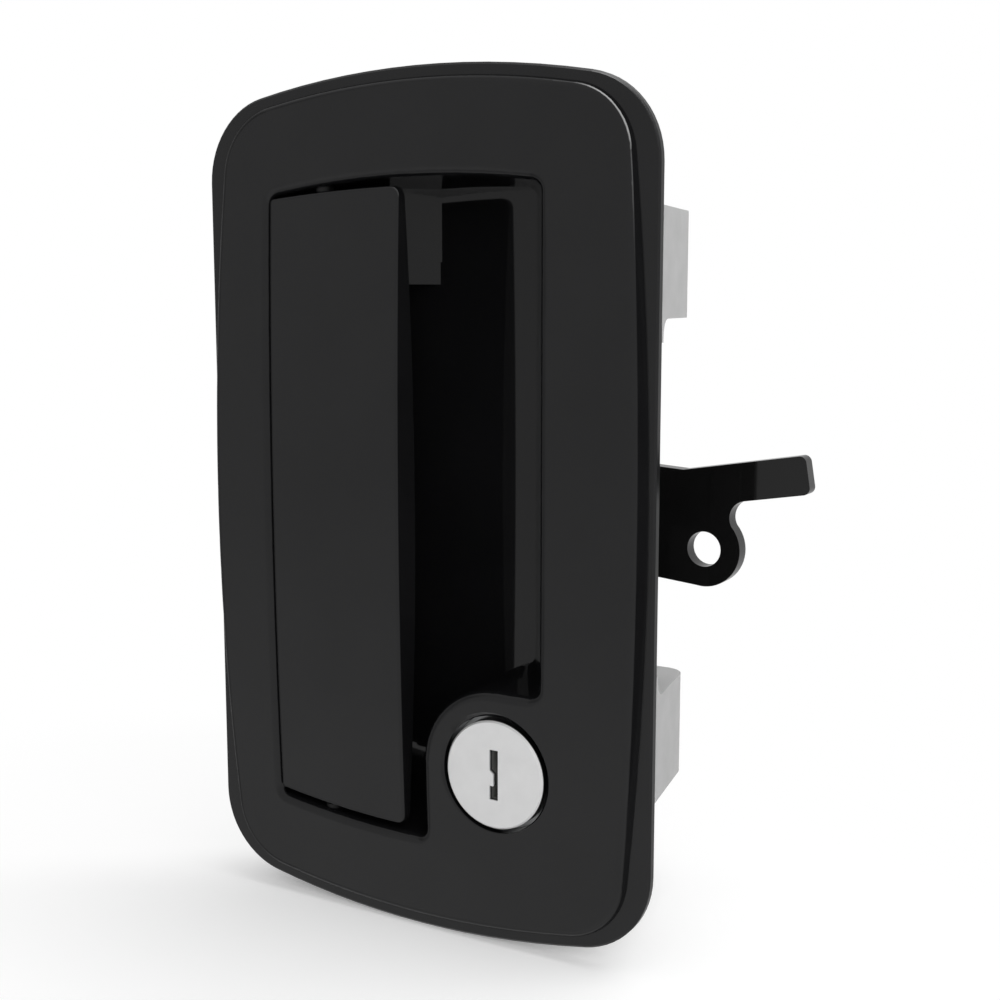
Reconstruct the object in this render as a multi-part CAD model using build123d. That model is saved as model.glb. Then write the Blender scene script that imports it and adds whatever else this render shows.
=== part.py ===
from build123d import *
import math
import os

# Motorhome door lock, in millimetres.
# X runs to the right across the door face, Y runs into the door and Z runs up.
# The origin is the middle of the flange's back, on the door skin.

# Flange and raised face
flange_width = 90.0
flange_height = 150.0
flange_thickness = 1.5
flange_arch_radius = 173.0
flange_corner_radius = 14.7
flange_edge = 0.4
face_projection = 4.6
face_crown_radius = 1300.0
face_side_margin = 1.15
face_end_margin = 2.0
face_bow_radius = 700.0
face_corner_radius = 12.5
face_draft_angle = 20.0
face_edge_radius = 1.2
face_wall = 2.4
land_width = 9.0

# Gasket behind the flange
gasket_thickness = 1.0
gasket_inset = 2.5
gasket_width = 5.5

# Finger recess
recess_left = 30.0
recess_right = 26.2
recess_top_margin = 18.05
recess_bottom_margin = 17.0
recess_arch_radius = 185.0
recess_corner_radius = 1.8
recess_lip_radius = 1.5
recess_draft_angle = 2.0
recess_floor_depth = 16.0
recess_floor_thickness = 2.0
recess_wall = 2.4
recess_back_edge = 1.5
scoop_angle = 31.0
hinge_relief = 0.9
hinge_relief_setback = 1.0

# Shroud block at the top of the recess, with the slot for the paddle's arm
shroud_height = 6.0
shroud_right = -5.85
shroud_flank_angle = 40.0
shroud_length = 17.85
shroud_step_length = 13.85
shroud_step = 0.35
arm_slot_clearance = 0.5

# Paddle, which rocks on a pin near its left edge
paddle_width = 27.65
paddle_left_gap = 0.35
paddle_top_gap = 1.55
paddle_top_arch_radius = 310.0
paddle_bottom_gap = 1.6
paddle_corner_radius = 1.8
paddle_hinge_corner_radius = 0.8
paddle_edge_radius = 0.6
paddle_plate = 2.6
paddle_rim = 4.0
grip_wall = 2.4
grip_depth = 5.45
grip_arc_radius = 614.0
knuckle_radius = 3.0
knuckle_side_wall = 0.1
knuckle_end_gap = 0.3
knuckle_cover = 0.8
paddle_open_angle = 25.0

# Hinge pin and its bushes
pin_radius = 1.1
pin_inset = 9.95
pin_setback = 4.3
pin_chamfer = 0.3
running_clearance = 0.05
bush_wall = 0.4
bush_fit = 0.02
bush_stand_proud = 0.8

# Drive arm on the paddle's back
arm_offset = -5.4
arm_thickness = 4.0
arm_height = 9.0
arm_drop = 10.45
arm_overreach = 5.7
arm_tip_radius = 1.2
bumper_length = 3.2
bumper_gap = 0.3
bumper_fit = 0.05

# Actuating lever, a bell crank of sheet steel
lever_standoff = 3.0
lever_thickness = 2.8
lever_pivot_x = -13.0
lever_pivot_z = 2.0
lever_hub_radius = 9.0
ear_radius = 5.0
ear_free_play = 0.3
finger_start_x = 39.9
finger_start_z = 7.5
finger_angle = 9.5
finger_length = 21.9
finger_width = 6.5
finger_free_length = 11.9
finger_tip_radius = 1.2
rod_lobe_x = 44.0
rod_lobe_z = -6.0
rod_lobe_radius = 6.5
rod_hole_radius = 3.05
notch_depth = 1.6
notch_end_angle = 33.0
upright_foot_radius = 7.0
neck_radius = 4.0
neck_offset = 1.5

# Lever pivot
stud_radius = 4.0
stud_thread_radius = 2.0
stud_thread_length = 3.4
stud_fit = 0.05
pivot_boss_radius = 6.6
pivot_boss_height = 2.4
lever_bush_wall = 1.0
lever_bush_flange_radius = 6.4
lever_bush_flange = 0.5
washer_thickness = 0.6
washer_radius = 7.0
clip_thickness = 0.8
clip_groove_depth = 0.9
clip_width = 2.4
clip_mouth = 4.4
stud_end = 0.8
axial_gap = 0.05

# Lever spring round the pivot boss, and the peg that holds its fixed leg
lever_spring_wire = 0.8
wire_sides = 8
lever_spring_turns = 2
lever_spring_lead = 13.5
lever_spring_pitch = 0.9
lever_spring_gap = 0.6
lever_spring_leg = 12.0
spring_hole_radius = 0.6
peg_reach = 10.5
peg_radius = 1.5
peg_length = 2.5
peg_gap = 0.05

# Key lock
key_x = 16.75
key_bottom_margin = 31.25
key_bore_radius = 10.25
key_shelf_radius = 14.45
key_boss_radius = 13.2
key_boss_length = 18.0
key_mouth_edge = 0.5
key_step_depth = 14.0
key_step = 1.0
cap_radius = 9.52
cap_thickness = 0.9
cap_skirt = 0.5
cap_edge = 0.35
cap_sink = 0.1
cap_skirt_gap = 0.2
plug_head_length = 2.0
plug_radius = 6.5
plug_fit = 0.02
barrel_front_gap = 0.3
barrel_back_gap = 0.2
barrel_overhang = 2.6
keyway_width = 1.65
keyway_height = 8.8
keyway_ward = 0.75
keyway_ward_height = 2.4
keyway_ward_top = 0.45
keyway_ward_slope = 0.3
keyway_depth = 18.0
seal_width = 1.5
seal_groove = 1.5
seal_setback = 4.0
barrel_clip_thickness = 0.9
barrel_clip_groove_depth = 1.2
barrel_clip_width = 3.2

# Wafers in the plug
wafer_count = 6
wafer_pitch = 2.4
wafer_first = 4.0
wafer_thickness = 1.2
wafer_width = 5.0
wafer_height = 11.4
wafer_window_width = 2.6
wafer_window_height = 9.4
wafer_clearance = 0.05

# Cam on the plug's tail
tail_size = 6.0
tail_fit = 0.05
cam_thickness = 2.4
cam_reach = 24.0
cam_hub_radius = 6.5
cam_tip_radius = 4.5
cam_gap = 0.3
cam_washer_thickness = 0.6
cam_washer_radius = 4.6
cam_screw_radius = 2.0
cam_screw_head_radius = 3.6
cam_screw_head_height = 2.2
cam_screw_length = 7.0
cam_screw_key = 1.7
screw_recess_depth = 1.2
screw_chamfer = 0.4

# Bridge clamps behind the plate
clamp_end_margin = 32.35
clamp_height = 19.0
clamp_foot_front = 3.5
clamp_foot_right = 30.6
clamp_foot_left = -33.4
clamp_foot_back = 35.0
clamp_foot_end = 2.9
clamp_foot_draft = 10.6
clamp_back = 40.4
clamp_bar = 8.9
clamp_shoulder_radius = 4.2
clamp_arch_radius = 4.0
clamp_pad_depth = 16.5
clamp_pad_extra = 4.0
clamp_pad_radius = 3.0
clamp_core_depth = 5.0
clamp_core_wall = 2.3
clamp_core_end = 4.6
clamp_boss_x = 20.0
clamp_boss_radius = 5.6
clamp_boss_height = 4.6
clamp_boss_root = 2.0
clamp_hole_radius = 2.75
clamp_screw_radius = 2.5
clamp_screw_head_radius = 4.6
clamp_screw_head_height = 3.2
clamp_screw_key = 2.3
clamp_screw_reach = 21.0
clamp_washer_radius = 5.2
clamp_washer_thickness = 0.8
clamp_post_radius = 5.0
clamp_post_hole_depth = 11.5

# Places worked out from the sizes above
recess_top = flange_height / 2 - recess_top_margin
recess_bottom = flange_height / 2 - recess_bottom_margin
key_z = key_bottom_margin - flange_height / 2
clamp_z = flange_height / 2 - clamp_end_margin
arm_z = recess_top - arm_drop
floor_back = recess_floor_depth + recess_floor_thickness
paddle_left = paddle_left_gap - recess_left
paddle_right = paddle_left + paddle_width
pin_x = paddle_left + pin_inset
pin_y = pin_setback - face_projection
arm_left = pin_x + arm_offset
arm_right = arm_left + arm_thickness
lever_front = floor_back + lever_standoff
lever_back = lever_front + lever_thickness
arm_tip = lever_back + arm_overreach
ear_x = arm_right + ear_free_play + ear_radius
pin_bore_radius = pin_radius + running_clearance
bush_radius = pin_bore_radius + bush_wall
bush_length = recess_wall + bush_stand_proud
bumper_right = arm_left - bumper_gap
pivot_face = floor_back + pivot_boss_height
lever_bush_radius = stud_radius + running_clearance + lever_bush_wall
washer_front = lever_back + 2 * axial_gap
lever_spring_radius = pivot_boss_radius + lever_spring_gap + lever_spring_wire / 2
peg_height = lever_spring_radius + lever_spring_wire / 2 + peg_gap + peg_radius
clamp_bar_front = clamp_back - clamp_bar
key_face = cap_sink - (face_projection - key_z ** 2 / (2 * face_crown_radius))
cap_back = key_face + cap_thickness
head_radius = cap_radius - cap_skirt
head_back = cap_back + plug_head_length
barrel_front = head_back + barrel_front_gap
barrel_radius = key_bore_radius - running_clearance
barrel_back = key_boss_length + barrel_overhang
plug_back = barrel_back + barrel_back_gap
cam_front = plug_back + cam_gap
cam_back = cam_front + cam_thickness
cam_washer_back = cam_back + cam_washer_thickness


def sagitta(radius, half_chord):
    return radius - math.sqrt(radius ** 2 - half_chord ** 2)


def front_plane(y):
    # Sketches here are (x, z) and are extruded towards the viewer
    return Plane(origin=(0, y, 0), x_dir=(1, 0, 0), z_dir=(0, -1, 0))


def slab(sketch, y_front, y_back):
    return extrude(front_plane(y_back) * sketch, amount=y_back - y_front)


def post(x, z, radius, y_front, y_back):
    return slab(Pos(x, z) * Circle(radius), y_front, y_back)


def ring(x, z, outer, inner, y_front, y_back):
    return slab(Pos(x, z) * (Circle(outer) - Circle(inner)), y_front, y_back)


def block(x_range, y_range, z_range):
    size = [high - low for low, high in (x_range, y_range, z_range)]
    middle = [(high + low) / 2 for low, high in (x_range, y_range, z_range)]
    return Pos(*middle) * Box(*size)


def crown(inset):
    # The raised face is part of a wide cylinder that lies across the door
    middle_y = face_crown_radius - face_projection
    roll = Cylinder(face_crown_radius - inset, 2 * flange_width, rotation=(0, 90, 0))
    return Pos(0, middle_y, 0) * roll


def crown_face(body):
    return body.faces().filter_by(GeomType.CYLINDER).sort_by(SortBy.AREA)[-1]


def arched_outline(half_width, half_height, arch_radius, corner_radius, bow_radius=None):
    # Plate outline with an arched top and bottom and straight or bowed sides
    side_x = half_width
    if bow_radius:
        side_x = half_width - sagitta(bow_radius, half_height)
    side_z = half_height - sagitta(arch_radius, side_x)
    top = ThreePointArc((-side_x, side_z), (0, half_height), (side_x, side_z))
    bottom = ThreePointArc((side_x, -side_z), (0, -half_height), (-side_x, -side_z))
    if bow_radius:
        right = ThreePointArc((side_x, side_z), (half_width, 0), (side_x, -side_z))
        left = ThreePointArc((-side_x, -side_z), (-half_width, 0), (-side_x, side_z))
    else:
        right = Line((side_x, side_z), (side_x, -side_z))
        left = Line((-side_x, -side_z), (-side_x, side_z))
    outline = make_face([top, right, bottom, left])
    return fillet(outline.vertices(), corner_radius)


def flange_outline(inset=0.0):
    return arched_outline(
        flange_width / 2 - inset,
        flange_height / 2 - inset,
        flange_arch_radius - inset,
        flange_corner_radius - inset,
    )


def recess_top_z(x):
    return recess_top - sagitta(recess_arch_radius, x)


def recess_bottom_z(x):
    return sagitta(recess_arch_radius, x) - recess_bottom


# Places that follow from the curved top of the recess and from the arm's swing
pin_top = recess_top_z(pin_x) + recess_wall
pin_bottom = recess_bottom_z(pin_x) - recess_wall
swing = math.radians(paddle_open_angle)
slot_right = pin_x + (arm_offset + arm_thickness) / math.cos(swing)
slot_right += (floor_back - pin_y) * math.tan(swing) + arm_slot_clearance


def recess_outline():
    # The lower right corner bends round the key lock; the right side is left long for the slope to trim
    shelf_z = key_z + key_shelf_radius
    boss_x = key_x - key_shelf_radius
    turn = key_shelf_radius * math.sqrt(0.5)
    bottom_mid = (boss_x - recess_left) / 2
    top_left = (-recess_left, recess_top_z(recess_left))
    right = recess_right + face_projection
    top_right = (right, recess_top_z(right))
    shelf_right = (right, shelf_z)
    shelf_left = (key_x, shelf_z)
    boss_top = (boss_x, key_z)
    bottom_right = (boss_x, recess_bottom_z(boss_x))
    bottom_left = (-recess_left, recess_bottom_z(recess_left))
    outline = make_face([
        ThreePointArc(top_left, (0, recess_top), top_right),
        Line(top_right, shelf_right),
        Line(shelf_right, shelf_left),
        ThreePointArc(shelf_left, (key_x - turn, key_z + turn), boss_top),
        Line(boss_top, bottom_right),
        ThreePointArc(bottom_right, (bottom_mid, recess_bottom_z(bottom_mid)), bottom_left),
        Line(bottom_left, top_left),
    ])
    sharp = [Vector(*point) for point in (top_left, bottom_right, bottom_left)]
    corners = [
        vertex for vertex in outline.vertices()
        if min((Vector(vertex.X, vertex.Y) - point).length for point in sharp) < 0.01
    ]
    return fillet(corners, recess_corner_radius)


def tapered_slab(sketch, y_front, y_back, angle):
    # The walls draw in towards the back, as they leave a die
    plane = Plane(origin=(0, y_front, 0), x_dir=(1, 0, 0), z_dir=(0, 1, 0))
    turned = mirror(sketch, about=Plane.XZ)
    return extrude(plane * turned, amount=y_back - y_front, taper=angle)


def scoop(extra):
    # The recess's right wall slopes in towards the floor, so that fingers slide in behind the paddle
    slope = math.tan(math.radians(scoop_angle))
    top_x = recess_right + extra + face_projection * slope
    side = make_face(Polyline(
        (top_x, -2 * face_projection),
        (top_x + flange_width, -2 * face_projection),
        (top_x + flange_width, floor_back),
        (top_x - (2 * face_projection + floor_back) * slope, floor_back),
        close=True,
    ))
    return extrude(Pos(0, 0, -flange_height / 2) * side, amount=flange_height)


def make_recess():
    outline = recess_outline()
    mouth = -face_projection - recess_lip_radius
    hollow = tapered_slab(outline, mouth, recess_floor_depth, recess_draft_angle) - scoop(0)
    facing = math.cos(math.radians(scoop_angle))
    slope = min(hollow.faces(), key=lambda face: abs(face.normal_at().X - facing))
    corners = [edge for edge in slope.edges() if abs((edge @ 1 - edge @ 0).Y) > face_projection]
    return fillet(corners, recess_corner_radius)


def make_hinge_relief():
    # The paddle's left edge tips inwards, past a shallow relief in the wall
    room = block(
        (-recess_left - hinge_relief, pin_x),
        (-face_projection, recess_floor_depth - shroud_height),
        (recess_bottom_z(recess_left), recess_top_z(recess_left)),
    )
    return room & crown(hinge_relief_setback)


def make_pan():
    outline = offset(recess_outline(), amount=recess_wall, kind=Kind.ARC)
    pan = tapered_slab(outline, -face_projection, floor_back, recess_draft_angle)
    back = pan.faces().sort_by(Axis.Y)[-1]
    pan = chamfer(back.edges(), recess_back_edge)
    pan -= scoop(recess_wall / math.cos(math.radians(scoop_angle)))
    return pan & crown(face_wall / 2)


def make_bezel():
    flange = slab(flange_outline(), -flange_thickness, 0)
    flange = chamfer(flange.faces().sort_by(Axis.Y)[0].edges(), flange_edge)
    raised_outline = arched_outline(
        flange_width / 2 - face_side_margin,
        flange_height / 2 - face_end_margin,
        flange_arch_radius - face_end_margin,
        face_corner_radius,
        face_bow_radius,
    )
    raised = extrude(
        front_plane(-flange_thickness) * raised_outline,
        amount=2 * face_projection,
        taper=face_draft_angle,
    )
    raised = raised & crown(0)
    raised = fillet(raised.faces().sort_by(Axis.Y)[0].edges(), face_edge_radius)
    pocket = slab(flange_outline(land_width), -face_projection, 1) & crown(face_wall)
    bezel = flange + raised - pocket
    recess = make_recess()
    bezel += make_pan()
    bezel += post(key_x, key_z, key_boss_radius, -face_wall, key_boss_length)
    bezel += post(lever_pivot_x, lever_pivot_z, pivot_boss_radius, recess_floor_depth, pivot_face)
    for side in (1, -1):
        bezel += post(
            side * clamp_boss_x,
            side * clamp_z,
            clamp_post_radius,
            0,
            clamp_bar_front,
        )
    bezel -= recess
    lip = crown_face(bezel).inner_wires()[0]
    bezel = fillet(lip.edges(), recess_lip_radius)
    bezel -= make_hinge_relief()
    shroud = shroud_length_of(0, shroud_step_length) + shroud_length_of(shroud_step, shroud_length)
    bezel += shroud & recess
    slot_half = arm_height / 2 + arm_slot_clearance
    bezel -= block(
        (bumper_right - bumper_length, slot_right),
        (recess_floor_depth - shroud_height - 1, floor_back + 1),
        (arm_z - slot_half, arm_z + slot_half),
    )
    bezel -= post(key_x, key_z, key_bore_radius, -2 * face_projection, key_step_depth)
    bezel -= post(key_x, key_z, key_bore_radius - key_step, 0, key_boss_length + 1)
    bezel -= key_mouth()
    stud_foot = pivot_face - stud_thread_length - stud_fit
    bezel -= post(lever_pivot_x, lever_pivot_z, stud_thread_radius + stud_fit, stud_foot, pivot_face + 1)
    bezel += post(
        lever_pivot_x - peg_reach,
        lever_pivot_z + peg_height,
        peg_radius,
        floor_back - 1,
        floor_back + peg_length,
    )
    for side in (1, -1):
        bezel -= post(
            side * clamp_boss_x,
            side * clamp_z,
            clamp_screw_radius + running_clearance,
            clamp_bar_front - clamp_post_hole_depth,
            clamp_bar_front + 1,
        )
        bezel -= pin_hole(side)
    return bezel


def shroud_length_of(step, length):
    # A block with a sloping right flank, hung from the top of the recess
    foot = shroud_right - step
    front = recess_floor_depth - shroud_height
    flank = shroud_height / math.tan(math.radians(shroud_flank_angle))
    section = make_face(Polyline(
        (-recess_left, front),
        (foot - flank, front),
        (foot, recess_floor_depth),
        (foot, floor_back),
        (-recess_left, floor_back),
        close=True,
    ))
    return extrude(Pos(0, 0, recess_top - length) * section, amount=length)


def key_mouth():
    # A cone that breaks the edge of the key bore where it meets the face
    depth = key_mouth_edge + cap_sink - key_face
    base = Circle(key_bore_radius - depth + 2 * key_mouth_edge)
    return Pos(key_x, 0, key_z) * extrude(front_plane(0) * base, amount=depth, taper=-45)


def bush_place(side):
    # Each end of the hinge pin runs in a bush in the wall of the pan
    end = pin_top if side > 0 else pin_bottom
    return Pos(pin_x, pin_y, end - side * bush_length / 2)


def pin_hole(side):
    return bush_place(side) * Cylinder(bush_radius + bush_fit, 3 * bush_length)


def make_bushes():
    bushes = []
    for side in (1, -1):
        sleeve = Cylinder(bush_radius, bush_length) - Cylinder(pin_bore_radius, bush_length)
        bushes.append(bush_place(side) * sleeve)
    return Compound(children=bushes)


def make_pin():
    pin = Cylinder(pin_radius, pin_top - pin_bottom)
    pin = chamfer(pin.edges(), pin_chamfer)
    return Pos(pin_x, pin_y, (pin_top + pin_bottom) / 2) * pin


def make_gasket():
    ring_sketch = flange_outline(gasket_inset) - flange_outline(gasket_inset + gasket_width)
    return slab(ring_sketch, 0, gasket_thickness)


def paddle_top_z(x):
    return recess_top - paddle_top_gap - sagitta(paddle_top_arch_radius, x)


def paddle_bottom_z(x):
    return recess_bottom_z(x) + paddle_bottom_gap


def paddle_outline():
    middle = (paddle_left + paddle_right) / 2
    top_left = (paddle_left, paddle_top_z(paddle_left))
    top_right = (paddle_right, paddle_top_z(paddle_right))
    bottom_right = (paddle_right, paddle_bottom_z(paddle_right))
    bottom_left = (paddle_left, paddle_bottom_z(paddle_left))
    outline = make_face([
        ThreePointArc(top_left, (middle, paddle_top_z(middle)), top_right),
        Line(top_right, bottom_right),
        ThreePointArc(bottom_right, (middle, paddle_bottom_z(middle)), bottom_left),
        Line(bottom_left, top_left),
    ])
    free_corners = outline.vertices().sort_by(Axis.X)[-2:]
    outline = fillet(free_corners, paddle_corner_radius)
    hinge_corners = outline.vertices().group_by(Axis.X)[0]
    return fillet(hinge_corners, paddle_hinge_corner_radius)


def make_paddle():
    body = slab(paddle_outline(), -2 * face_projection, recess_floor_depth) & crown(0)
    grip_middle = grip_depth - face_projection - grip_arc_radius
    body &= Pos(0, grip_middle, 0) * Cylinder(grip_arc_radius, 2 * flange_width, rotation=(0, 90, 0))
    front = body.faces().sort_by(Axis.Y)[0]
    body = fillet(front.edges(), paddle_edge_radius)
    knuckle_side = knuckle_radius + knuckle_side_wall
    hollow_top = paddle_top_z(paddle_left) - paddle_rim
    hollow_bottom = paddle_bottom_z(paddle_left) + paddle_rim
    for hollow_x in (
        (paddle_left + grip_wall, pin_x - knuckle_side),
        (pin_x + knuckle_side, paddle_right - grip_wall),
    ):
        hollow = block(hollow_x, (-face_projection, recess_floor_depth), (hollow_bottom, hollow_top))
        body -= hollow & crown(paddle_plate)
    knuckle_top = paddle_top_z(paddle_left) - knuckle_end_gap
    knuckle_bottom = paddle_bottom_z(paddle_left) + knuckle_end_gap
    knuckle = Cylinder(knuckle_radius, knuckle_top - knuckle_bottom)
    knuckle = Pos(pin_x, pin_y, (knuckle_top + knuckle_bottom) / 2) * knuckle
    body += knuckle & crown(knuckle_cover)
    arm = block(
        (arm_left, arm_right),
        (knuckle_cover - face_projection + paddle_edge_radius, arm_tip),
        (arm_z - arm_height / 2, arm_z + arm_height / 2),
    )
    tip_edges = arm.edges().filter_by(Axis.Z).group_by(Axis.Y)[-1]
    arm = fillet(tip_edges, arm_tip_radius)
    body += arm & crown(knuckle_cover)
    body -= Pos(pin_x, pin_y, 0) * Cylinder(pin_bore_radius, flange_height)
    return body


def make_bumper():
    half = arm_height / 2 + arm_slot_clearance - bumper_fit
    return block(
        (bumper_right - bumper_length, bumper_right),
        (recess_floor_depth - shroud_height, floor_back),
        (arm_z - half, arm_z + half),
    )


def lever_outline():
    along = Vector(math.cos(math.radians(finger_angle)), math.sin(math.radians(finger_angle)))
    across = Vector(along.Y, -along.X)
    pivot = Vector(lever_pivot_x, lever_pivot_z)
    lobe = Vector(rod_lobe_x, rod_lobe_z)
    start = Vector(finger_start_x, finger_start_z)
    tip_top = start + along * finger_length
    tip_bottom = tip_top + across * finger_width
    finger_end = tip_bottom - along * finger_free_length
    lobe_edge = lobe + Vector(rod_lobe_radius, 0).rotate(Axis.Z, notch_end_angle)
    notch = (finger_end + lobe_edge) * 0.5 - Vector(notch_depth, 0)
    hub_top = pivot + Vector(0, lever_hub_radius)
    hub_bottom = pivot - Vector(0, lever_hub_radius)
    lobe_bottom = lobe - Vector(0, rod_lobe_radius)
    outline = make_face([
        *Polyline(hub_bottom, hub_top, start, tip_top, tip_bottom, finger_end).edges(),
        ThreePointArc(finger_end, notch, lobe_edge),
        *Polyline(lobe_edge, lobe, lobe_bottom, hub_bottom).edges(),
    ])
    tips = [
        vertex for vertex in outline.vertices()
        if min((Vector(vertex.X, vertex.Y) - point).length for point in (tip_top, tip_bottom)) < 0.01
    ]
    outline = fillet(tips, finger_tip_radius)
    outline += Pos(pivot.X, pivot.Y) * Circle(lever_hub_radius)
    outline += Pos(lobe.X, lobe.Y) * Circle(rod_lobe_radius)
    foot = Pos(pivot.X, pivot.Y) * Circle(upright_foot_radius)
    neck = Pos(ear_x + neck_offset, arm_z) * Circle(neck_radius)
    outline += make_hull(foot.edges() + neck.edges())
    outline += Pos(ear_x, arm_z) * Circle(ear_radius)
    return outline


def make_lever():
    lever = slab(lever_outline(), lever_front, lever_back)
    lever -= post(rod_lobe_x, rod_lobe_z, rod_hole_radius, lever_front - 1, lever_back + 1)
    lever -= post(
        lever_pivot_x,
        lever_pivot_z,
        lever_bush_radius + bush_fit,
        lever_front - 1,
        lever_back + 1,
    )
    hook = (lever_spring_place() * Pos(lever_spring_path() @ 1)).position
    lever -= post(hook.X, hook.Z, spring_hole_radius, lever_front - 1, lever_back + 1)
    return lever


def make_lever_bush():
    bore = stud_radius + running_clearance
    flange = ring(
        lever_pivot_x,
        lever_pivot_z,
        lever_bush_flange_radius,
        bore,
        lever_front - lever_bush_flange,
        lever_front,
    )
    sleeve = ring(
        lever_pivot_x,
        lever_pivot_z,
        lever_bush_radius,
        bore,
        lever_front,
        washer_front - axial_gap,
    )
    return flange + sleeve


def make_stud():
    thread_front = pivot_face - stud_thread_length
    groove_front = washer_front + washer_thickness + axial_gap
    groove_back = groove_front + clip_thickness + axial_gap
    groove_radius = stud_radius - clip_groove_depth
    stud = post(lever_pivot_x, lever_pivot_z, stud_thread_radius, thread_front, pivot_face)
    stud += post(lever_pivot_x, lever_pivot_z, stud_radius, pivot_face, groove_front)
    stud += post(lever_pivot_x, lever_pivot_z, groove_radius, groove_front, groove_back)
    stud += post(lever_pivot_x, lever_pivot_z, stud_radius, groove_back, groove_back + stud_end)
    return stud


def make_lever_washer():
    return ring(
        lever_pivot_x,
        lever_pivot_z,
        washer_radius,
        stud_radius + stud_fit,
        washer_front,
        washer_front + washer_thickness,
    )


def make_lever_clip():
    inner = stud_radius - clip_groove_depth + stud_fit
    front = washer_front + washer_thickness + axial_gap
    back = front + clip_thickness
    clip_ring = ring(lever_pivot_x, lever_pivot_z, inner + clip_width, inner, front, back)
    mouth = block(
        (lever_pivot_x - clip_mouth / 2, lever_pivot_x + clip_mouth / 2),
        (front - 1, back + 1),
        (lever_pivot_z - 2 * washer_radius, lever_pivot_z),
    )
    return clip_ring - mouth


def lever_spring_path():
    # Half turns that lean one way and then the other climb from the boss to the lever
    radius = lever_spring_radius
    edges = [Line((radius, -lever_spring_leg, 0), (radius, 0, 0))]
    for half_turn in range(2 * lever_spring_turns):
        low = half_turn * lever_spring_pitch / 2
        side = 1 - 2 * (half_turn % 2)
        edges.append(ThreePointArc(
            (side * radius, 0, low),
            (0, side * radius, low + lever_spring_pitch / 4),
            (-side * radius, 0, low + lever_spring_pitch / 2),
        ))
    top = lever_spring_turns * lever_spring_pitch
    lead = Plane(origin=(0, 0, top)) * CenterArc((0, 0), radius, 0, lever_spring_lead)
    corner = (lead @ 1) + (lead % 1) * lever_spring_leg
    hook_length = lever_back - floor_back - 2 * lever_spring_wire - top
    hook_end = corner + Vector(0, 0, hook_length)
    hook = FilletPolyline(lead @ 1, corner, hook_end, radius=lever_spring_wire)
    return Wire([*edges, *lead.edges(), *hook.edges()])


def lever_spring_place():
    # Wound clockwise seen from the front, from a start above the pivot
    return Plane(
        origin=(lever_pivot_x, floor_back + lever_spring_wire, lever_pivot_z),
        x_dir=(0, 0, 1),
        z_dir=(0, 1, 0),
    )


def make_lever_spring():
    path = lever_spring_path()
    section = Plane(origin=path @ 0, z_dir=path % 0) * RegularPolygon(lever_spring_wire / 2, wire_sides)
    return lever_spring_place() * sweep(section, path=path)


def keyway_sketch():
    half = keyway_width / 2
    ward_bottom = keyway_ward_top - keyway_ward_height
    ward = make_face(Polyline(
        (-keyway_width, keyway_ward_top + keyway_width - half + keyway_ward_slope),
        (-half, keyway_ward_top + keyway_ward_slope),
        (keyway_ward - half, keyway_ward_top - keyway_ward_slope),
        (keyway_ward - half, ward_bottom),
        (-keyway_width, ward_bottom),
        close=True,
    ))
    return Pos(key_x, key_z) * (Rectangle(keyway_width, keyway_height) - ward)


def make_cap():
    cap = post(key_x, key_z, cap_radius, key_face, head_back - cap_skirt_gap)
    rim = cap.faces().sort_by(Axis.Y)[0].edges()
    cap = chamfer(rim, cap_edge)
    cap -= post(key_x, key_z, head_radius + plug_fit, cap_back, head_back)
    return cap - slab(keyway_sketch(), key_face - 1, cap_back + 1)


def make_plug():
    plug = post(key_x, key_z, head_radius, cap_back, head_back)
    plug += post(key_x, key_z, plug_radius, head_back, plug_back)
    tail = Pos(key_x, key_z) * Rectangle(tail_size, tail_size)
    plug += slab(tail, plug_back, cam_back - axial_gap)
    plug -= slab(keyway_sketch(), cap_back - 1, keyway_depth)
    for index in range(wafer_count):
        middle = head_back + wafer_first + index * wafer_pitch
        half = wafer_thickness / 2 + wafer_clearance
        slot = Pos(key_x, key_z) * Rectangle(wafer_width + 2 * wafer_clearance, 2 * head_radius)
        plug -= slab(slot, middle - half, middle + half)
    plug -= post(
        key_x,
        key_z,
        cam_screw_radius + running_clearance,
        cam_washer_back - cam_screw_length - axial_gap,
        cam_back,
    )
    return plug


def make_wafers():
    sketch = Rectangle(wafer_width, wafer_height) - Rectangle(wafer_window_width, wafer_window_height)
    wafers = []
    for index in range(wafer_count):
        middle = head_back + wafer_first + index * wafer_pitch
        half = wafer_thickness / 2
        wafers.append(slab(Pos(key_x, key_z) * sketch, middle - half, middle + half))
    return Compound(children=wafers)


def make_barrel():
    barrel = post(key_x, key_z, barrel_radius, barrel_front, key_step_depth)
    barrel += post(key_x, key_z, barrel_radius - key_step, key_step_depth, barrel_back)
    barrel -= post(key_x, key_z, plug_radius + plug_fit, barrel_front - 1, barrel_back + 1)
    groove_half = seal_width / 2 + running_clearance
    seal_y = barrel_front + seal_setback
    barrel -= ring(
        key_x,
        key_z,
        key_bore_radius,
        key_bore_radius - seal_groove,
        seal_y - groove_half,
        seal_y + groove_half,
    )
    clip_front = key_boss_length + axial_gap
    return barrel - ring(
        key_x,
        key_z,
        key_bore_radius,
        barrel_radius - key_step - barrel_clip_groove_depth,
        clip_front,
        clip_front + barrel_clip_thickness + axial_gap,
    )


def make_seal():
    inner = key_bore_radius - seal_groove + running_clearance
    outer = key_bore_radius - running_clearance
    seal_y = barrel_front + seal_setback
    return ring(key_x, key_z, outer, inner, seal_y - seal_width / 2, seal_y + seal_width / 2)


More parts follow.
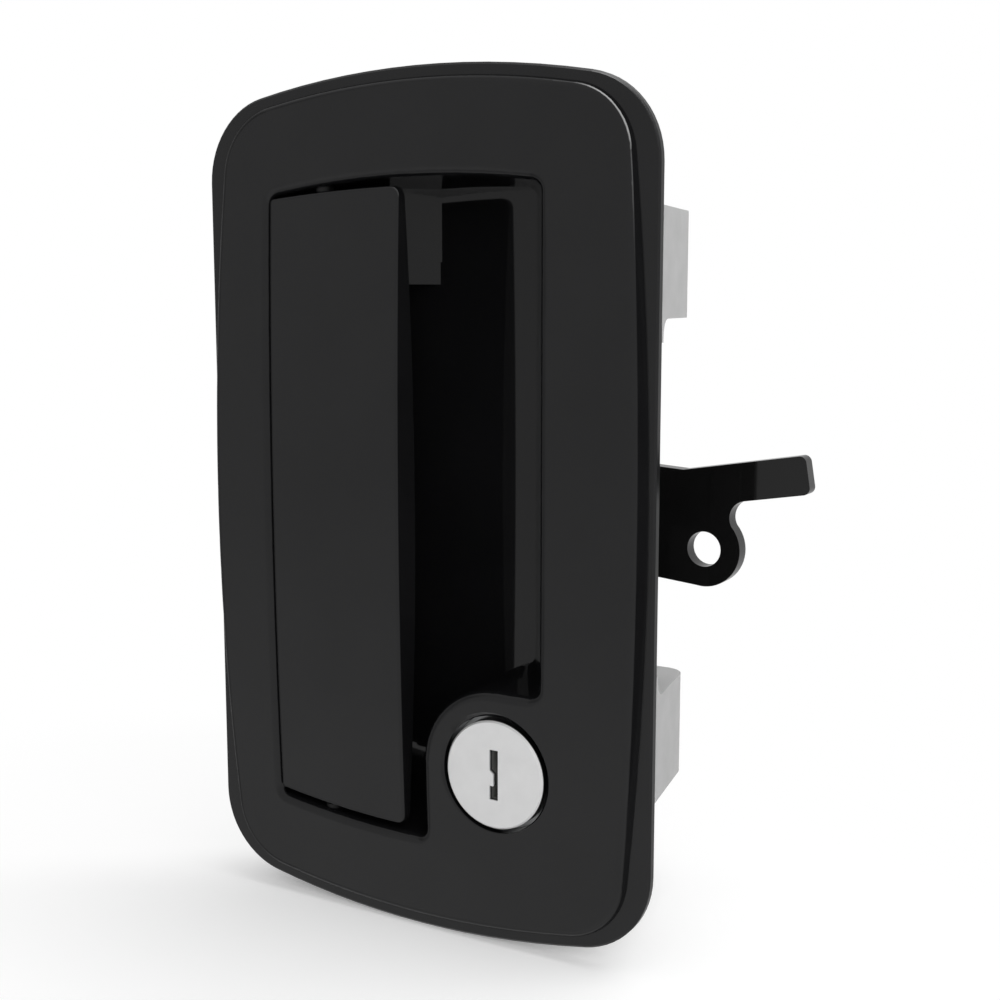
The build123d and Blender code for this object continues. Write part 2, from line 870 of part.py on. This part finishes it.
def make_barrel_clip():
    inner = barrel_radius - key_step - barrel_clip_groove_depth + running_clearance
    front = key_boss_length + axial_gap
    back = front + barrel_clip_thickness
    clip_ring = ring(key_x, key_z, inner + barrel_clip_width, inner, front, back)
    mouth = block((key_x - inner, key_x + inner), (front - 1, back + 1), (key_z - 2 * inner, key_z))
    return clip_ring - mouth


def make_cam():
    hub = Circle(cam_hub_radius)
    tip = Pos(cam_tip_radius - cam_reach, 0) * Circle(cam_tip_radius)
    outline = make_hull(hub.edges() + tip.edges())
    outline -= Rectangle(tail_size + 2 * tail_fit, tail_size + 2 * tail_fit)
    return slab(Pos(key_x, key_z) * outline, cam_front, cam_back)


def make_cam_washer():
    hole = cam_screw_radius + running_clearance
    return ring(key_x, key_z, cam_washer_radius, hole, cam_back, cam_washer_back)


def hex_recess(x, z, radius, y_front, y_back):
    return slab(Pos(x, z) * RegularPolygon(radius, 6), y_front, y_back)


def make_cam_screw():
    head_end = cam_washer_back + cam_screw_head_height
    screw = post(key_x, key_z, cam_screw_head_radius, cam_washer_back, head_end)
    screw = chamfer(screw.faces().sort_by(Axis.Y)[-1].edges(), screw_chamfer)
    screw += post(key_x, key_z, cam_screw_radius, cam_washer_back - cam_screw_length, cam_washer_back)
    return screw - hex_recess(key_x, key_z, cam_screw_key, head_end - screw_recess_depth, head_end)


def clamp_outer_x(y):
    # The outer faces of the feet lean in towards the back
    return clamp_foot_end + (clamp_foot_back - y) * math.tan(math.radians(clamp_foot_draft))


def clamp_profile():
    front = clamp_foot_front
    outline = make_face(Polyline(
        (clamp_foot_right, front),
        (clamp_foot_right + clamp_outer_x(front), front),
        (clamp_foot_right + clamp_outer_x(clamp_back), clamp_back),
        (clamp_foot_left - clamp_outer_x(clamp_back), clamp_back),
        (clamp_foot_left - clamp_outer_x(front), front),
        (clamp_foot_left, front),
        (clamp_foot_left, clamp_bar_front),
        (clamp_foot_right, clamp_bar_front),
        close=True,
    ))
    shoulders = [vertex for vertex in outline.vertices() if vertex.Y > clamp_back - 0.01]
    outline = fillet(shoulders, clamp_shoulder_radius)
    arch = [vertex for vertex in outline.vertices() if abs(vertex.Y - clamp_bar_front) < 0.01]
    return fillet(arch, clamp_arch_radius)


def make_clamp():
    profile = clamp_profile()
    bottom = clamp_z - clamp_height / 2
    bridge = extrude(Pos(0, 0, bottom) * profile, amount=clamp_height)
    pads = extrude(Pos(0, 0, bottom - clamp_pad_extra) * profile, amount=clamp_height)
    pad_back = clamp_foot_front + clamp_pad_depth
    pads &= block((-flange_width, flange_width), (0, pad_back), (0, flange_height))
    clamp = bridge + pads
    corners = [
        edge for edge in clamp.edges().filter_by(Axis.X)
        if abs(edge.center().Y - pad_back) < 0.01 and abs(edge.center().Z - bottom) < 0.01
    ]
    clamp = fillet(corners, clamp_pad_radius)
    for x in (clamp_boss_x, -clamp_boss_x):
        clamp += post(x, clamp_z, clamp_boss_radius, clamp_bar_front + 1, clamp_back + clamp_boss_height)
    roots = [
        edge for edge in clamp.edges().filter_by(GeomType.CIRCLE)
        if abs(edge.center().Y - clamp_back) < 0.01 and abs(edge.radius - clamp_boss_radius) < 0.01
    ]
    clamp = chamfer(roots, clamp_boss_root)
    for z in (bottom, bottom + clamp_height):
        clamp -= block(
            (clamp_foot_left + clamp_core_end, clamp_foot_right - clamp_core_end),
            (clamp_bar_front + clamp_core_wall, clamp_back - clamp_core_wall),
            (z - clamp_core_depth, z + clamp_core_depth),
        )
    boss_end = clamp_back + clamp_boss_height
    for x in (clamp_boss_x, -clamp_boss_x):
        clamp -= post(x, clamp_z, clamp_hole_radius, clamp_bar_front - 1, boss_end + 1)
    return clamp


def make_clamp_washers():
    front = clamp_back + clamp_boss_height
    washers = []
    for side in (1, -1):
        washers.append(ring(
            side * clamp_boss_x,
            side * clamp_z,
            clamp_washer_radius,
            clamp_hole_radius,
            front,
            front + clamp_washer_thickness,
        ))
    return Compound(children=washers)


def make_clamp_screws():
    seat = clamp_back + clamp_boss_height + clamp_washer_thickness
    head_end = seat + clamp_screw_head_height
    screws = []
    for side in (1, -1):
        x = side * clamp_boss_x
        z = side * clamp_z
        screw = post(x, z, clamp_screw_head_radius, seat, head_end)
        screw = chamfer(screw.faces().sort_by(Axis.Y)[-1].edges(), screw_chamfer)
        screw += post(x, z, clamp_screw_radius, seat - clamp_screw_reach, seat)
        screw -= hex_recess(x, z, clamp_screw_key, head_end - screw_recess_depth, head_end)
        screws.append(screw)
    return Compound(children=screws)


upper_clamp = make_clamp()
pieces = {
    "bezel_housing": make_bezel(),
    "flange_gasket": make_gasket(),
    "paddle_handle": make_paddle(),
    "hinge_pin": make_pin(),
    "hinge_bushes": make_bushes(),
    "rest_bumper": make_bumper(),
    "actuating_lever": make_lever(),
    "lever_bush": make_lever_bush(),
    "pivot_stud": make_stud(),
    "lever_washer": make_lever_washer(),
    "lever_clip": make_lever_clip(),
    "lever_spring": make_lever_spring(),
    "plug_cap": make_cap(),
    "key_plug": make_plug(),
    "plug_wafers": make_wafers(),
    "lock_barrel": make_barrel(),
    "barrel_seal": make_seal(),
    "barrel_clip": make_barrel_clip(),
    "lock_cam": make_cam(),
    "cam_washer": make_cam_washer(),
    "cam_screw": make_cam_screw(),
    "upper_clamp": upper_clamp,
    "lower_clamp": mirror(upper_clamp, about=Plane.XY),
    "clamp_washers": make_clamp_washers(),
    "clamp_screws": make_clamp_screws(),
}

os.makedirs("parts", exist_ok=True)
for name, piece in pieces.items():
    export_step(piece, f"parts/{name}.step")
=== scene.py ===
import math

import bmesh
import bpy
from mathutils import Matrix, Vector


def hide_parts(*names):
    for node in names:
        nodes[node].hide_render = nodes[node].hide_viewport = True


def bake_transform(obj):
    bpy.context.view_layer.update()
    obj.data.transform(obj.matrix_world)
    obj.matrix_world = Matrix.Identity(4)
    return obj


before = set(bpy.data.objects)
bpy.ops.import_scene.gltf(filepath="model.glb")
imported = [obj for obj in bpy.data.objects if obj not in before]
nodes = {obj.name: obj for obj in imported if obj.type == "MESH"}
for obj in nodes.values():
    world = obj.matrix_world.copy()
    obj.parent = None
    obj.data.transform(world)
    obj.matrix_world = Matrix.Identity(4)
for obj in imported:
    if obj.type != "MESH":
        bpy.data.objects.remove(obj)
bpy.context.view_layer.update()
millimetre = 0.001
rangeSockets = ("From Min", "From Max", "To Min", "To Max")  # of a Map Range node, in this order
noiseRange = (0.25, 0.75)  # noise stays mostly between these


def linear(hexColour):
    # sRGB hex to the linear values that shaders take
    channels = [int(hexColour[i:i + 2], 16) / 255 for i in (1, 3, 5)]
    return [c / 12.92 if c <= 0.04045 else ((c + 0.055) / 1.055) ** 2.4 for c in channels] + [1.0]


def inMetres(sizesMm):
    return [size * millimetre for size in sizesMm]


def addNode(tree, kind, inputs=None, output=0, **settings):
    # Each input takes a value or another node's output, and one output comes back
    node = tree.nodes.new("ShaderNode" + kind)
    for name, value in settings.items():
        setattr(node, name, value)
    for name, value in (inputs or {}).items():
        socket = node.inputs[name]
        if isinstance(value, bpy.types.NodeSocket):
            tree.links.new(value, socket)
        else:
            socket.default_value = value
    return node.outputs[output] if node.outputs else None


def newMaterial(name):
    material = bpy.data.materials.new(name)
    material.use_nodes = True
    material.node_tree.nodes.clear()
    return material, material.node_tree


def paintedCapShade(tree, place, colour, shade):
    # Painted shade on the cap behind its front face: grey deep in the key slot and near black on the skirt
    # in the gap round it
    flat = addNode(tree, "VectorMath", {0: place, 1: (1.0, 0.0, 1.0)}, "Vector", operation="MULTIPLY")
    centre = inMetres(shade["centreMm"])
    reach = addNode(tree, "VectorMath", {0: flat, 1: centre}, "Value", operation="DISTANCE")
    onSkirt = addNode(tree, "MapRange", dict(zip(rangeSockets, inMetres(shade["slotMm"])), Value=reach))
    tones = {"Factor": onSkirt, "A": linear(shade["slotShadeTone"]), "B": linear(shade["skirtShadeTone"])}
    tone = addNode(tree, "Mix", tones, "Result", data_type="RGBA")
    depth = addNode(tree, "SeparateXYZ", {"Vector": place}, "Y")
    behind = addNode(tree, "MapRange", dict(zip(rangeSockets, inMetres(shade["depthMm"])), Value=depth))
    return addNode(tree, "Mix", {"Factor": behind, "A": colour, "B": tone}, "Result", data_type="RGBA")


def rimRoughness(tree, place, rim):
    # Duller round the flange's rim, where the flash of the casting is ground off
    halfWidth, halfHeight = inMetres(rim["halfMm"])
    scale = (1.0 / halfWidth, 0.0, 1.0 / halfHeight)
    share = addNode(tree, "VectorMath", {0: place, 1: scale}, "Vector", operation="MULTIPLY")
    share = addNode(tree, "VectorMath", {0: share}, "Vector", operation="ABSOLUTE")
    shares = addNode(tree, "SeparateXYZ", {"Vector": share}).node.outputs
    outward = addNode(tree, "Math", {0: shares["X"], 1: shares["Z"]}, operation="MAXIMUM")
    limits = (*rim["share"], 0.0, rim["rough"])
    onRim = addNode(tree, "MapRange", dict(zip(rangeSockets, limits), Value=outward))
    depth = addNode(tree, "SeparateXYZ", {"Vector": place}, "Y")
    onFlange = addNode(tree, "MapRange", dict(zip(rangeSockets, inMetres(rim["depthMm"])), Value=depth))
    return addNode(tree, "Math", {0: onRim, 1: onFlange}, operation="MULTIPLY")


def surfaceMaterial(name, look):
    material, tree = newMaterial(name)
    place = addNode(tree, "TexCoord", output="Object")
    patchScale, grainScale = [1.0 / size for size in inMetres((look["patchMm"], look["grainMm"]))]
    patch = addNode(tree, "TexNoise", {"Vector": place, "Scale": patchScale, "Detail": 3.0}, "Fac")
    grain = addNode(tree, "TexNoise", {"Vector": place, "Scale": grainScale, "Detail": 2.0}, "Fac")
    mottle = addNode(tree, "MapRange", dict(zip(rangeSockets, noiseRange), Value=patch))
    tones = {"Factor": mottle, "A": linear(look["dark"]), "B": linear(look["light"])}
    colour = addNode(tree, "Mix", tones, "Result", data_type="RGBA")
    if "shade" in look:
        colour = paintedCapShade(tree, place, colour, look["shade"])
    limits = (*noiseRange, look["smooth"], look["rough"])
    roughness = addNode(tree, "MapRange", dict(zip(rangeSockets, limits), Value=grain))
    if "rim" in look:
        rim = rimRoughness(tree, place, look["rim"])
        roughness = addNode(tree, "Math", {0: roughness, 1: rim}, operation="MAXIMUM")
    relief = {"Height": grain, "Strength": look["relief"], "Distance": look["reliefMm"] * millimetre}
    surface = {
        "Base Color": colour,
        "Roughness": roughness,
        "Metallic": look["metal"],
        "Normal": addNode(tree, "Bump", relief),
    }
    if "ior" in look:
        surface["IOR"] = look["ior"]
    addNode(tree, "OutputMaterial", {"Surface": addNode(tree, "BsdfPrincipled", surface)})
    return material


# Grit and polish marks are finer than 0.1 mm on the real lock and are drawn coarser so that they show
looks = {
    # Gloss powder coat on die-cast zinc: a black mirror, hardly any orange peel
    "powderCoatedZinc": {
        "nodes": ["bezel_housing", "paddle_handle"],
        "dark": "#0f0f10", "light": "#131314", "patchMm": 14.0, "grainMm": 0.5, "ior": 1.45,
        "smooth": 0.03, "rough": 0.06, "relief": 0.01, "reliefMm": 0.01, "metal": 0.0,
        "rim": {"depthMm": (-1.6, -1.3), "halfMm": (45.0, 75.0), "share": (0.86, 0.89), "rough": 0.3},
    },
    # Gloss coat on punched sheet steel: as black, a little softer in its mirror
    "coatedSheetSteel": {
        "nodes": ["actuating_lever"],
        "dark": "#0e0e0e", "light": "#121212", "patchMm": 9.0, "grainMm": 0.4, "ior": 1.45,
        "smooth": 0.04, "rough": 0.08, "relief": 0.01, "reliefMm": 0.01, "metal": 0.0,
    },
    # Black oxide on drawn steel: a dull near black that keeps the hinge gap dark
    "blackOxideSteel": {
        "nodes": ["hinge_pin"],
        "dark": "#0c0c0d", "light": "#121213", "patchMm": 3.0, "grainMm": 0.2,
        "smooth": 0.25, "rough": 0.4, "relief": 0.05, "reliefMm": 0.01, "metal": 0.0,
    },
    # Satin stainless cap: pale and even with no clear mirror, with painted shade in its gap and slot
    "satinStainless": {
        "nodes": ["plug_cap"],
        "dark": "#e9e9e9", "light": "#efefef", "patchMm": 3.0, "grainMm": 0.2,
        "smooth": 0.32, "rough": 0.42, "relief": 0.05, "reliefMm": 0.01, "metal": 0.55,
        # painted shade behind the face: grey in the key slot, near black on the skirt in its gap
        "shade": {
            "depthMm": (-3.5, -3.4), "centreMm": (16.75, 0.0, -43.75), "slotMm": (5.5, 6.5),
            "slotShadeTone": "#525252", "skirtShadeTone": "#141414",
        },
    },
    # Bare zinc as cast and blasted: pale matt grey with a fine grit
    "blastedZinc": {
        "nodes": ["upper_clamp", "lower_clamp"],
        "dark": "#ababab", "light": "#b4b4b4", "patchMm": 5.0, "grainMm": 0.35,
        "smooth": 0.75, "rough": 0.9, "relief": 0.15, "reliefMm": 0.03, "metal": 0.0,
    },
    # Moulded closed-cell rubber: dull charcoal with no highlight
    "mouldedRubber": {
        "nodes": ["flange_gasket", "rest_bumper", "barrel_seal"],
        "dark": "#161616", "light": "#1d1d1c", "patchMm": 4.0, "grainMm": 0.3,
        "smooth": 0.7, "rough": 0.85, "relief": 0.2, "reliefMm": 0.03, "metal": 0.0,
    },
    # Zinc plate on turned and pressed steel: cool bright grey with soft highlights
    "zincPlatedSteel": {
        "nodes": [
            "pivot_stud", "lever_washer", "lever_clip", "lever_spring", "barrel_clip",
            "cam_washer", "cam_screw", "clamp_washers", "clamp_screws", "lock_cam",
        ],
        "dark": "#b4b6b8", "light": "#c9cacb", "patchMm": 2.5, "grainMm": 0.15,
        "smooth": 0.22, "rough": 0.36, "relief": 0.05, "reliefMm": 0.01, "metal": 1.0,
    },
    # Moulded black acetal: dense black with a waxy sheen
    "mouldedAcetal": {
        "nodes": ["hinge_bushes", "lever_bush"],
        "dark": "#0c0c0c", "light": "#111111", "patchMm": 3.0, "grainMm": 0.25,
        "smooth": 0.45, "rough": 0.6, "relief": 0.1, "reliefMm": 0.02, "metal": 0.0,
    },
    # Nickel plate on turned brass, dulled by grease: a warm grey that shows deep in the slot
    "nickelledBrass": {
        "nodes": ["key_plug"],
        "dark": "#a5a5a1", "light": "#b4b4b0", "patchMm": 2.0, "grainMm": 0.12,
        "smooth": 0.3, "rough": 0.42, "relief": 0.05, "reliefMm": 0.01, "metal": 0.6,
    },
    # Stamped brass sheet: yellow with a fairly sharp mirror
    "stampedBrass": {
        "nodes": ["plug_wafers"],
        "dark": "#b9964a", "light": "#cdaa5e", "patchMm": 2.0, "grainMm": 0.12,
        "smooth": 0.2, "rough": 0.32, "relief": 0.05, "reliefMm": 0.01, "metal": 1.0,
    },
    # Zinc turned after casting: mid grey metal with a silky shine
    "machinedZinc": {
        "nodes": ["lock_barrel"],
        "dark": "#9fa0a1", "light": "#b0b1b2", "patchMm": 2.0, "grainMm": 0.12,
        "smooth": 0.28, "rough": 0.4, "relief": 0.05, "reliefMm": 0.01, "metal": 1.0,
    },
}
for name, look in looks.items():
    material = surfaceMaterial(name, look)
    for nodeName in look["nodes"]:
        mesh = nodes[nodeName].data
        mesh.materials.clear()
        mesh.materials.append(material)
print("materials set on", sum(len(look["nodes"]) for look in looks.values()), "pieces")

# Lever spring, its straight leg on the casting's peg and its hooked leg in the lever's hole: a welded,
# smooth shaded copy of its mesh stands in for it, and the original is hidden
spring = {
    "standsFor": "lever_spring", "slot": "bright_steel", "fixedTo": "housing", "hookedTo": "lever",
    "pivotMm": (-13.0, 2.0), "coilsMm": (19.2, 20.2), "weldMm": 0.001, "sharpDegrees": 60.0,
}
wireMesh = nodes[spring["standsFor"]].data.copy()
wireMesh.name = "leverSpringWire"
wireMesh.attributes.remove(wireMesh.attributes["custom_normal"])
weld = bmesh.new()
weld.from_mesh(wireMesh)
bmesh.ops.remove_doubles(weld, verts=weld.verts, dist=spring["weldMm"] * millimetre)
weld.to_mesh(wireMesh)
weld.free()
wireMesh.shade_smooth()
wireMesh.set_sharp_from_angle(angle=math.radians(spring["sharpDegrees"]))
wire = bpy.data.objects.new("leverSpringWire", wireMesh)
bpy.context.scene.collection.objects.link(wire)
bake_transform(wire)
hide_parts(spring["standsFor"])

# Paper sweep under the lower edge, an even white with no sheen and a faint even glow for the camera: it
# keeps the shadow near the lock, further out it is painted plain white over the lamps' shadow and falloff,
# sooner behind on the left, and it lets mirror rays through
paper = {
    "size": 6.0, "height": -0.075, "tone": "#f6f6f6", "patchTone": "#f8f8f8", "patchMm": 40.0,
    "lift": 0.15, "fadeCentre": (-0.03, -0.05, 0.0), "fade": (0.06, 0.17),
    "backLeft": (-0.6, 0.8, 0.0), "backFade": (0.018, 0.042, 0.0, 0.8),
}
bpy.ops.mesh.primitive_plane_add(size=paper["size"], location=(0, 0, paper["height"]))
floor = bpy.context.object
floor.name = "studioFloor"
floorMaterial, tree = newMaterial("mattWhitePaper")
place = addNode(tree, "TexCoord", output="Object")
rays = addNode(tree, "LightPath").node.outputs
patchScale = 1.0 / (paper["patchMm"] * millimetre)
patch = addNode(tree, "TexNoise", {"Vector": place, "Scale": patchScale, "Detail": 4.0}, "Fac")
mottle = addNode(tree, "MapRange", dict(zip(rangeSockets, noiseRange), Value=patch))
tones = {"Factor": mottle, "A": linear(paper["tone"]), "B": linear(paper["patchTone"])}
colour = addNode(tree, "Mix", tones, "Result", data_type="RGBA")
matt = addNode(tree, "BsdfDiffuse", {"Color": colour})
lift = addNode(tree, "Math", {0: rays["Is Camera Ray"], 1: paper["lift"]}, operation="MULTIPLY")
near = addNode(tree, "AddShader", {0: matt, 1: addNode(tree, "Emission", {"Strength": lift})})
reach = addNode(tree, "VectorMath", {0: place, 1: paper["fadeCentre"]}, "Value", operation="DISTANCE")
limits = dict(zip(rangeSockets, paper["fade"]), Value=reach)
fade = addNode(tree, "MapRange", limits, interpolation_type="SMOOTHSTEP")
# Behind on the left, where the right lamp's shadow falls, the floor is painted plain white over that shadow
reach = addNode(tree, "VectorMath", {0: place, 1: paper["backLeft"]}, "Value", operation="DOT_PRODUCT")
limits = dict(zip(rangeSockets, paper["backFade"]), Value=reach)
backFade = addNode(tree, "MapRange", limits, interpolation_type="SMOOTHSTEP")
fade = addNode(tree, "Math", {0: fade, 1: backFade}, operation="MAXIMUM")
fade = addNode(tree, "Math", {0: fade, 1: rays["Is Camera Ray"]}, operation="MULTIPLY")
surface = addNode(tree, "MixShader", {0: fade, 1: near, 2: addNode(tree, "Emission")})
clear = addNode(tree, "BsdfTransparent")
surface = addNode(tree, "MixShader", {0: rays["Is Glossy Ray"], 1: surface, 2: clear})
addNode(tree, "OutputMaterial", {"Surface": surface})
floor.data.materials.append(floorMaterial)
print("floor laid")

# Room: a bright wall in front, brighter towards its foot, a dimmer one on the left, a pale ceiling
# and floor, the white backdrop behind and a dark stretch on the right. An arch of light from overhead
# to the right is there for mirror rays alone, and the camera sees plain white
room = {
    "facing": (0.375, -0.927, 0.0), "wallEdge": (0.0, 0.45), "wallLight": (-0.36, -0.12, 0.64, 0.53),
    "sides": [
        {"axis": "X", "light": (-0.3, -0.95, 0.03, 0.3)},
        {"axis": "Y", "light": (0.5, 0.85, 0.03, 0.65)},
        {"axis": "Z", "light": (0.2, 0.8, 0.03, 0.5)},
        {"axis": "Z", "light": (-0.45, -0.8, 0.03, 0.45)},
    ],
    "archMiddle": (0.5, 0.0, 0.866), "archLight": (0.55, 0.95, 0.0, 9.0),
    "archEdges": [(-0.2, 0.0), (0.38, 0.15)],
}
world = bpy.data.worlds.new("studioRoom")
bpy.context.scene.world = world
world.use_nodes = True
tree = world.node_tree
tree.nodes.clear()
rays = addNode(tree, "LightPath").node.outputs
direction = addNode(tree, "TexCoord", output="Generated")
towards = addNode(tree, "SeparateXYZ", {"Vector": direction}).node.outputs
facing = addNode(tree, "VectorMath", {0: direction, 1: room["facing"]}, "Value", operation="DOT_PRODUCT")
limits = dict(zip(rangeSockets, room["wallEdge"]), Value=facing)
wall = addNode(tree, "MapRange", limits, interpolation_type="SMOOTHSTEP")
level = addNode(tree, "MapRange", dict(zip(rangeSockets, room["wallLight"]), Value=towards["Z"]))
glow = addNode(tree, "Math", {0: wall, 1: level}, operation="MULTIPLY")
for side in room["sides"]:
    limits = dict(zip(rangeSockets, side["light"]), Value=towards[side["axis"]])
    light = addNode(tree, "MapRange", limits, interpolation_type="SMOOTHSTEP")
    glow = addNode(tree, "Math", {0: glow, 1: light}, operation="MAXIMUM")
along = addNode(tree, "VectorMath", {0: direction, 1: room["archMiddle"]}, "Value", operation="DOT_PRODUCT")
limits = dict(zip(rangeSockets, room["archLight"]), Value=along)
arch = addNode(tree, "MapRange", limits, interpolation_type="SMOOTHSTEP")
for edge in room["archEdges"]:
    across = addNode(tree, "MapRange", dict(zip(rangeSockets, edge), Value=towards["Y"]))
    arch = addNode(tree, "Math", {0: arch, 1: across}, operation="MULTIPLY")
arch = addNode(tree, "Math", {0: arch, 1: rays["Is Glossy Ray"]}, operation="MULTIPLY")
glow = addNode(tree, "Math", {0: glow, 1: arch}, operation="MAXIMUM")
lit = addNode(tree, "Background", {"Color": glow})
white = addNode(tree, "Background", {"Color": linear("#ffffff")})
seen = addNode(tree, "MixShader", {0: rays["Is Camera Ray"], 1: lit, 2: white})
addNode(tree, "OutputWorld", {"Surface": seen})

# Soft lamps that shape the pale pieces and the shadow; mirror rays see the room and not the lamps
lamps = {
    "rightSoftbox": {"place": (0.9, -0.8, 0.45), "size": 1.0, "power": 7.6},
    "topSoftbox": {"place": (0.42, 0.06, 1.13), "size": 0.8, "power": 6.9},
}
for name, lamp in lamps.items():
    light = bpy.data.lights.new(name, "AREA")
    light.shape = "SQUARE"
    light.size = lamp["size"]
    light.energy = lamp["power"]
    holder = bpy.data.objects.new(name, light)
    bpy.context.scene.collection.objects.link(holder)
    holder.location = lamp["place"]
    holder.rotation_euler = (-Vector(lamp["place"])).to_track_quat("-Z", "Y").to_euler()
    holder.visible_glossy = False
print("room and lamps set")

view = {
    "place": (0.137845, -0.206428, 0.036808), "aim": (0.01579, 0.0, 0.00304),
    "lens": 51.85, "sensor": 36.0, "nearest": 0.01,
}
cameraData = bpy.data.cameras.new("photoCamera")
cameraData.lens = view["lens"]
cameraData.sensor_width = view["sensor"]
cameraData.clip_start = view["nearest"]
camera = bpy.data.objects.new("photoCamera", cameraData)
bpy.context.scene.collection.objects.link(camera)
camera.location = view["place"]
lookAlong = Vector(view["aim"]) - Vector(view["place"])
camera.rotation_euler = lookAlong.to_track_quat("-Z", "Y").to_euler()
bpy.context.scene.camera = camera
bpy.context.scene.view_settings.view_transform = "Standard"
print("camera set")
